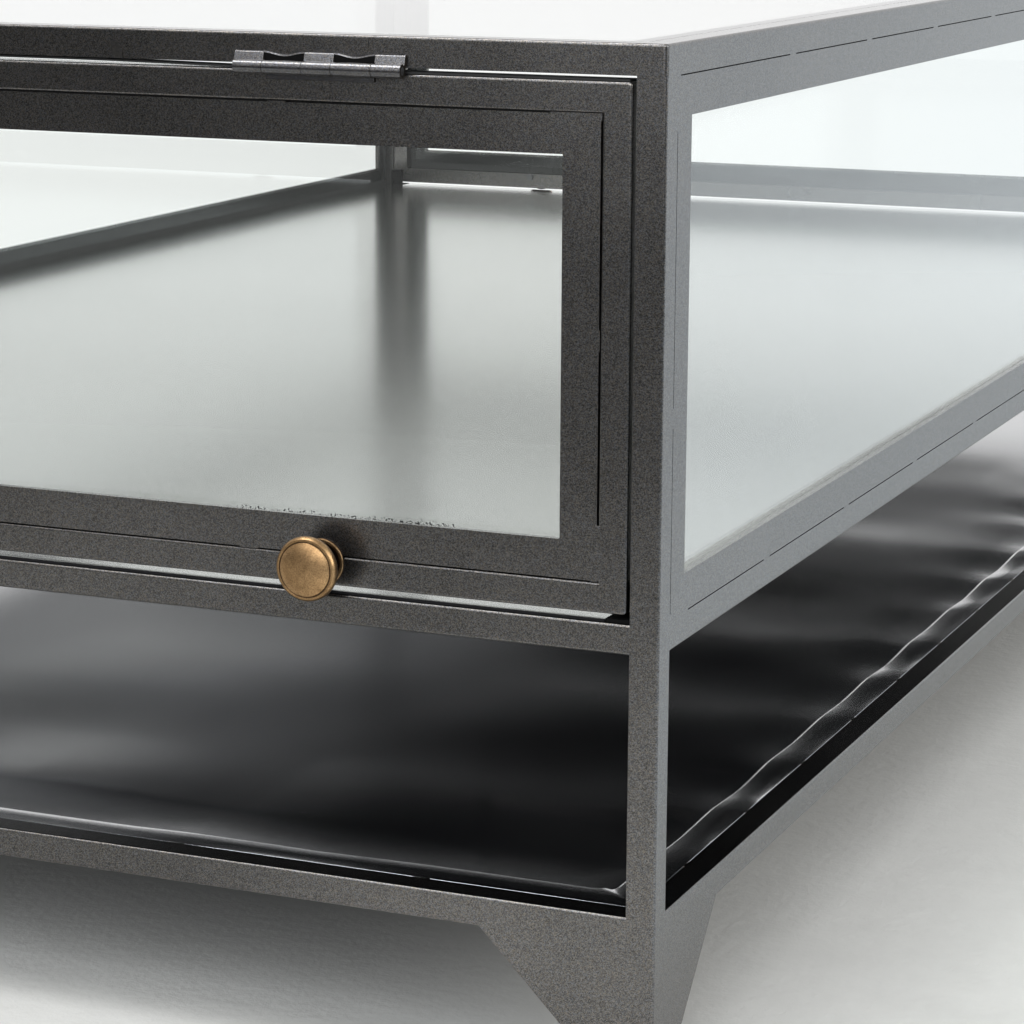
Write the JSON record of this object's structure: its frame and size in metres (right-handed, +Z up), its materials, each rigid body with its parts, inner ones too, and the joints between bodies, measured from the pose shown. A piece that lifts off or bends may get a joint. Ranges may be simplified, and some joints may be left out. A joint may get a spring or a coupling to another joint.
{
  "type": "display table",
  "caption": "Low glazed display table on a welded tube frame, with top-hung glass doors at both ends, a sheet deck and an open lower shelf.",
  "frame": {"origin": "on the floor, under the middle of the table", "axes": "+Z up, +Y along the long side away from the front door, +X across to the table's right as seen from the front door"},
  "size_m": [0.82, 1.538, 0.44],
  "materials": {
    "lacquered_steel": "gunmetal lacquer, satin, with fine metallic grain",
    "lacquered_sheet": "gunmetal lacquer, smoother and glossier than the tubes",
    "lacquered_hinge": "gunmetal lacquer, worn bright at the knuckles",
    "clear_glass": "clear float glass, green in the edge",
    "glazing_tape": "matt black bonding tape",
    "antique_brass": "brushed antique brass",
    "bare_steel": "zinc plated",
    "magnet": "nickel plated magnet",
    "glide_plastic": "black nylon"
  },
  "bodies": {
    "table": {"bottom_rail_back": "lacquered_steel", "bottom_rail_front": "lacquered_steel", "bottom_rail_left": "lacquered_steel", "bottom_rail_right": "lacquered_steel", "deck_braces": "lacquered_steel", "display_deck": "lacquered_sheet", "door_stops": "lacquered_steel", "floor_glides": "glide_plastic", "hinge_frame_leaves": "lacquered_hinge", "hinge_pins": "bare_steel", "leg_gussets_back_left": "lacquered_steel", "leg_gussets_back_right": "lacquered_steel", "leg_gussets_front_left": "lacquered_steel", "leg_gussets_front_right": "lacquered_steel", "lower_shelf": "lacquered_sheet", "middle_rail_back": "lacquered_steel", "middle_rail_front": "lacquered_steel", "middle_rail_left": "lacquered_steel", "middle_rail_right": "lacquered_steel", "post_back_left": "lacquered_steel", "post_back_right": "lacquered_steel", "post_front_left": "lacquered_steel", "post_front_right": "lacquered_steel", "shelf_braces": "lacquered_steel", "side_glass_left": "clear_glass", "side_glass_right": "clear_glass", "side_glass_tape_left": "glazing_tape", "side_glass_tape_right": "glazing_tape", "side_glazing_bars_left": "lacquered_steel", "side_glazing_bars_right": "lacquered_steel", "stop_magnets": "magnet", "top_glass": "clear_glass", "top_glass_ledges": "lacquered_steel", "top_glass_tape": "glazing_tape", "top_rail_back": "lacquered_steel", "top_rail_front": "lacquered_steel", "top_rail_left": "lacquered_steel", "top_rail_right": "lacquered_steel"},
    "front_door": {"front_door_glass": "clear_glass", "front_door_glass_tape": "glazing_tape", "front_door_glazing_bars": "lacquered_steel", "front_door_hinge_leaves": "lacquered_hinge", "front_door_knob_backplates": "antique_brass", "front_door_knob_screws": "bare_steel", "front_door_knobs": "antique_brass", "front_door_left_tube": "lacquered_steel", "front_door_low_tube": "lacquered_steel", "front_door_right_tube": "lacquered_steel", "front_door_top_tube": "lacquered_steel"},
    "back_door": {"back_door_glass": "clear_glass", "back_door_glass_tape": "glazing_tape", "back_door_glazing_bars": "lacquered_steel", "back_door_hinge_leaves": "lacquered_hinge", "back_door_knob_backplates": "antique_brass", "back_door_knob_screws": "bare_steel", "back_door_knobs": "antique_brass", "back_door_left_tube": "lacquered_steel", "back_door_low_tube": "lacquered_steel", "back_door_right_tube": "lacquered_steel", "back_door_top_tube": "lacquered_steel"}
  },
  "joints": [
    {"name": "front_door_hinge", "type": "hinge", "parent": "table", "child": "front_door", "pos_m": [0, -0.75295, 0.4261], "axis": [-1, 0, 0], "range_deg": [0, 200]},
    {"name": "back_door_hinge", "type": "hinge", "parent": "table", "child": "back_door", "pos_m": [0, 0.75295, 0.4261], "axis": [1, 0, 0], "range_deg": [0, 200]}
  ]
}
